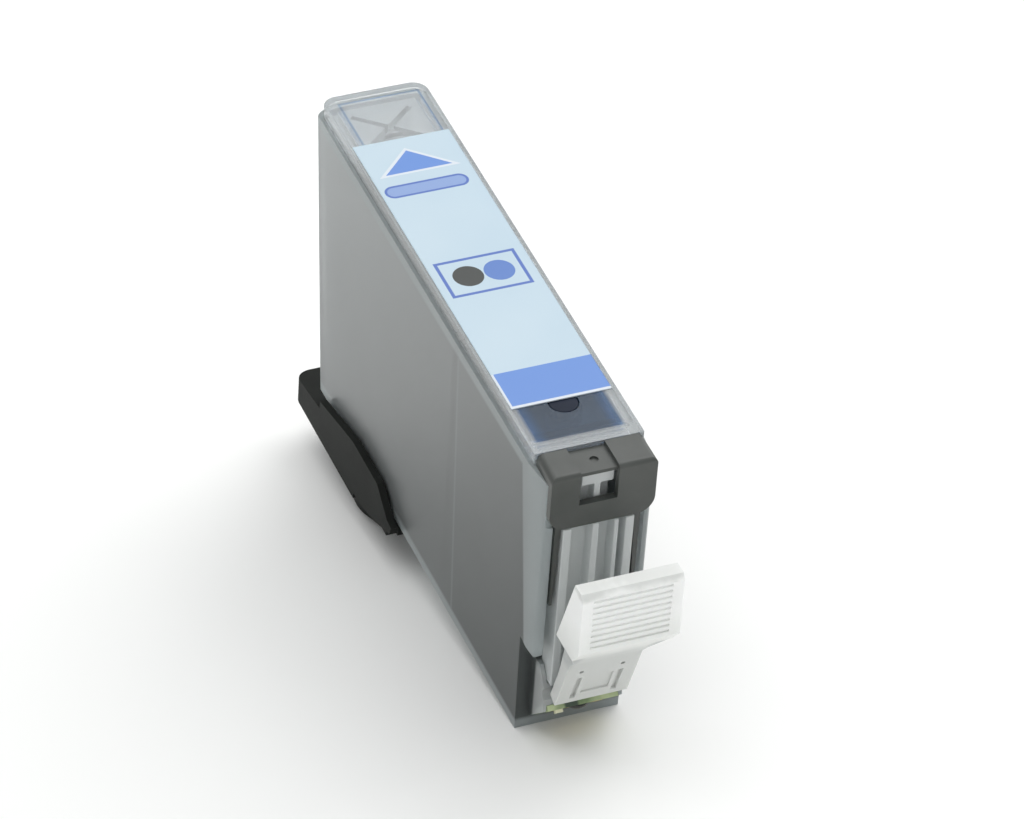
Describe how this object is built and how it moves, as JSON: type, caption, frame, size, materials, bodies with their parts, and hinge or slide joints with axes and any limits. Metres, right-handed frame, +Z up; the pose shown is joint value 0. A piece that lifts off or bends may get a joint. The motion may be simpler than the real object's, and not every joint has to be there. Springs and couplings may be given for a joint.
{
  "type": "ink cartridge",
  "caption": "Narrow clear single-colour inkjet tank with foam chamber, plain top label, ribbed front latch lever and black transport cap.",
  "frame": {"origin": "centre of the bounding box's base, on the surface it rests on", "axes": "+X across the cartridge, +Y from the latch lever towards the rear, +Z up; the tank lies tipped 9.5 degrees back to front about X, resting on its transport cap and its front lower edge"},
  "size_m": [0.0136, 0.0787, 0.0454],
  "materials": {
    "clear_tank": "clear, slightly grey",
    "clear_lid": "clear",
    "dry_foam": "open foam, off white",
    "inked_foam": "open foam, soaked",
    "wick_felt": "felt",
    "ink": "dark liquid",
    "plug_plastic": "tinted, polished",
    "label_film": "printed film, satin",
    "cover_plastic": "moulded, satin",
    "guide_plastic": "clear",
    "lever_plastic": "milky, translucent",
    "board_laminate": "solder resist",
    "contact_gold": "gold plated",
    "capsule_resin": "resin drop",
    "lamp_lens": "clear lens",
    "cap_plastic": "moulded, satin",
    "seal_rubber": "moulded"
  },
  "bodies": {
    "tank": {"tank_shell": "clear_tank", "lid": "clear_lid", "upper_absorber": "dry_foam", "lower_absorber": "inked_foam", "outlet_wick": "wick_felt", "ink_charge": "ink", "fill_plug": "plug_plastic", "top_label": "label_film", "front_cover": "cover_plastic", "light_guide": "guide_plastic", "chip_board": "board_laminate", "contact_pads": "contact_gold", "chip_capsule": "capsule_resin", "signal_lamp": "lamp_lens"},
    "lever": {"latch_lever": "lever_plastic"},
    "cap": {"transport_cap": "cap_plastic", "cap_seal": "seal_rubber"}
  },
  "joints": [
    {"name": "lever_hinge", "type": "hinge", "parent": "tank", "child": "lever", "pos_m": [0, -0.02723, 0.00638], "axis": [-1, 0, 0], "range_deg": [0, 14], "stiffness_Nm_per_rad": 0.12},
    {"name": "cap_pull", "type": "slide", "parent": "tank", "child": "cap", "axis": [0, 0.1651, -0.9863], "range_m": [0, 0.009]}
  ]
}
